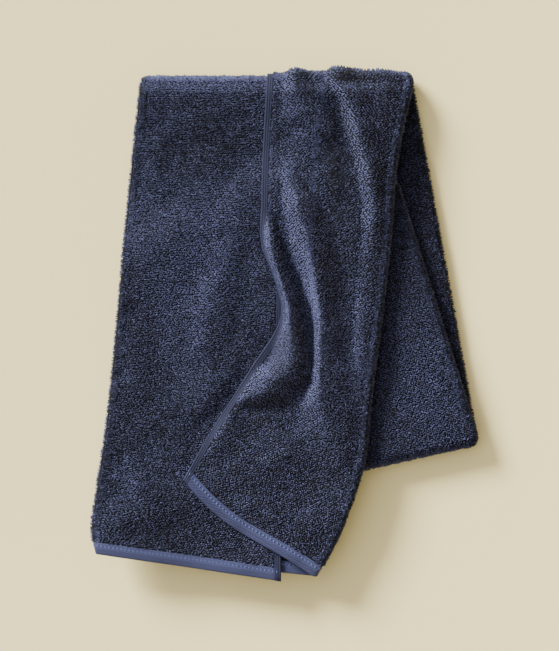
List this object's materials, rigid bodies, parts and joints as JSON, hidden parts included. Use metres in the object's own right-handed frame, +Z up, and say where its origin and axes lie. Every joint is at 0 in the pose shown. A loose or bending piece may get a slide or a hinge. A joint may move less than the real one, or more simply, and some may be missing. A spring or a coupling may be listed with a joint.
{
  "type": "bath towel",
  "caption": "Folded cotton terry bath towel that lies on a surface, with a loose flap folded over its front and its back end swung out to one side.",
  "frame": {"origin": "on the surface the towel lies on, under the middle of its outline", "axes": "+Z up from the surface, +Y from the front's end hem to the folded top edge, +X towards the flap's fold"},
  "size_m": [0.4698, 0.6278, 0.0497],
  "materials": {
    "terry": "looped cotton pile, matt"
  },
  "bodies": {
    "root": {"towel": "terry"}
  },
  "joints": []
}
